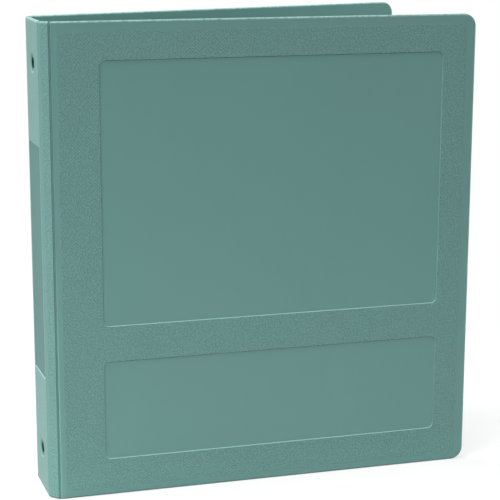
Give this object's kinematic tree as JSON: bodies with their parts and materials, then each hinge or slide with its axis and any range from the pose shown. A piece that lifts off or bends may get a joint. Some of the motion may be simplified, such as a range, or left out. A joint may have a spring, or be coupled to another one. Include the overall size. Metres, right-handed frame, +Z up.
{
  "type": "ring binder album",
  "caption": "Upright ring-binder album: moulded plastic spine, folding hinge strips and two covers, sunk label panels, riveted steel ring mechanism with end levers.",
  "frame": {"origin": "foot of the spine, half way through its wall and half way along its depth", "axes": "+Z up along the spine, +X from the spine towards the covers' free edges, front cover facing -Y"},
  "size_m": [0.2738, 0.1191, 0.292],
  "materials": {
    "case": "pebble grain, satin label panels",
    "ring_metal": "nickel plated",
    "rivet_metal": "blackened"
  },
  "bodies": {
    "spine": {"spine": "case", "front_spine_web": "case", "back_spine_web": "case", "ring_housing": "ring_metal", "bottom_rivet": "rivet_metal", "top_rivet": "rivet_metal", "bottom_post": "ring_metal", "top_post": "ring_metal", "bottom_lever_pin": "ring_metal", "top_lever_pin": "ring_metal"},
    "front_strip": {"front_hinge_strip": "case", "front_cover_web": "case"},
    "back_strip": {"back_hinge_strip": "case", "back_cover_web": "case"},
    "front_cover": {"front_cover": "case"},
    "back_cover": {"back_cover": "case"},
    "front_rings": {"front_blade": "ring_metal", "bottom_ring_front": "ring_metal", "middle_ring_front": "ring_metal", "top_ring_front": "ring_metal"},
    "back_rings": {"back_blade": "ring_metal", "bottom_ring_back": "ring_metal", "middle_ring_back": "ring_metal", "top_ring_back": "ring_metal"},
    "bottom_lever": {"bottom_lever": "ring_metal"},
    "top_lever": {"top_lever": "ring_metal"}
  },
  "joints": [
    {"name": "front_strip_hinge", "type": "hinge", "parent": "spine", "child": "front_strip", "pos_m": [0.00005, -0.02086, 0], "axis": [0, 0, -1], "range_deg": [-0.75, 44.75]},
    {"name": "front_cover_hinge", "type": "hinge", "parent": "front_strip", "child": "front_cover", "pos_m": [0.0046, -0.02481, 0], "axis": [0, 0, -1], "range_deg": [-0.75, 44.75]},
    {"name": "back_strip_hinge", "type": "hinge", "parent": "spine", "child": "back_strip", "pos_m": [0.00005, 0.02086, 0], "axis": [0, 0, 1], "range_deg": [-6.5, 39]},
    {"name": "back_cover_hinge", "type": "hinge", "parent": "back_strip", "child": "back_cover", "pos_m": [0.00418, 0.02525, 0], "axis": [0, 0, 1], "range_deg": [-6.5, 39]},
    {"name": "front_rings_pivot", "type": "hinge", "parent": "spine", "child": "front_rings", "pos_m": [0.0055, -0.0104, 0], "axis": [0, 0, -1], "range_deg": [0, 11.6]},
    {"name": "back_rings_pivot", "type": "hinge", "parent": "spine", "child": "back_rings", "pos_m": [0.0055, 0.0104, 0], "axis": [0, 0, 1], "range_deg": [0, 11.6]},
    {"name": "bottom_lever_pivot", "type": "hinge", "parent": "spine", "child": "bottom_lever", "pos_m": [0.0073, 0, 0.0153], "axis": [0, 1, 0], "range_deg": [0, 30]},
    {"name": "top_lever_pivot", "type": "hinge", "parent": "spine", "child": "top_lever", "pos_m": [0.0073, 0, 0.2767], "axis": [0, -1, 0], "range_deg": [0, 30]}
  ],
  "couplings": [
    {"joint": "front_strip_hinge", "follows": "front_cover_hinge", "ratio": 1},
    {"joint": "back_strip_hinge", "follows": "back_cover_hinge", "ratio": 1},
    {"joint": "back_rings_pivot", "follows": "front_rings_pivot", "ratio": 1},
    {"joint": "bottom_lever_pivot", "follows": "front_rings_pivot", "ratio": 2.5862},
    {"joint": "top_lever_pivot", "follows": "front_rings_pivot", "ratio": 2.5862}
  ]
}
